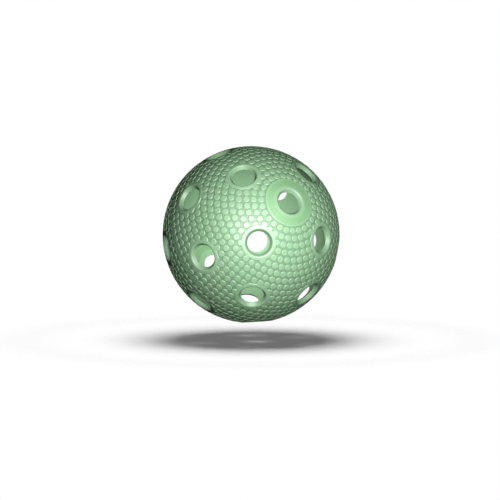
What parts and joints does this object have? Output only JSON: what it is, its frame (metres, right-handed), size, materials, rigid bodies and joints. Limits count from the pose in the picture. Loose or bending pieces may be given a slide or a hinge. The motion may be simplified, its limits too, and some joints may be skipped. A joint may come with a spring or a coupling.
{
  "type": "floorball ball",
  "caption": "Hollow, light moulded ball with round holes spread all over it, made of two welded half shells, for floorball.",
  "frame": {"origin": "centre of the ball", "axes": "+Z along the axis through the two pole holes, out of the half whose pole faces the camera in the picture; -Y points at one of the ring of four holes of that half; the weld lies in the XY plane"},
  "size_m": [0.072, 0.072, 0.071],
  "materials": {
    "top_shell": "satin moulded polyethylene, pale green",
    "bottom_shell": "satin moulded polyethylene, pale green",
    "weld": "melted and reset polyethylene, slightly darker"
  },
  "bodies": {
    "root": {"top_half": "top_shell", "bottom_half": "bottom_shell", "weld_bead": "weld"}
  },
  "joints": []
}
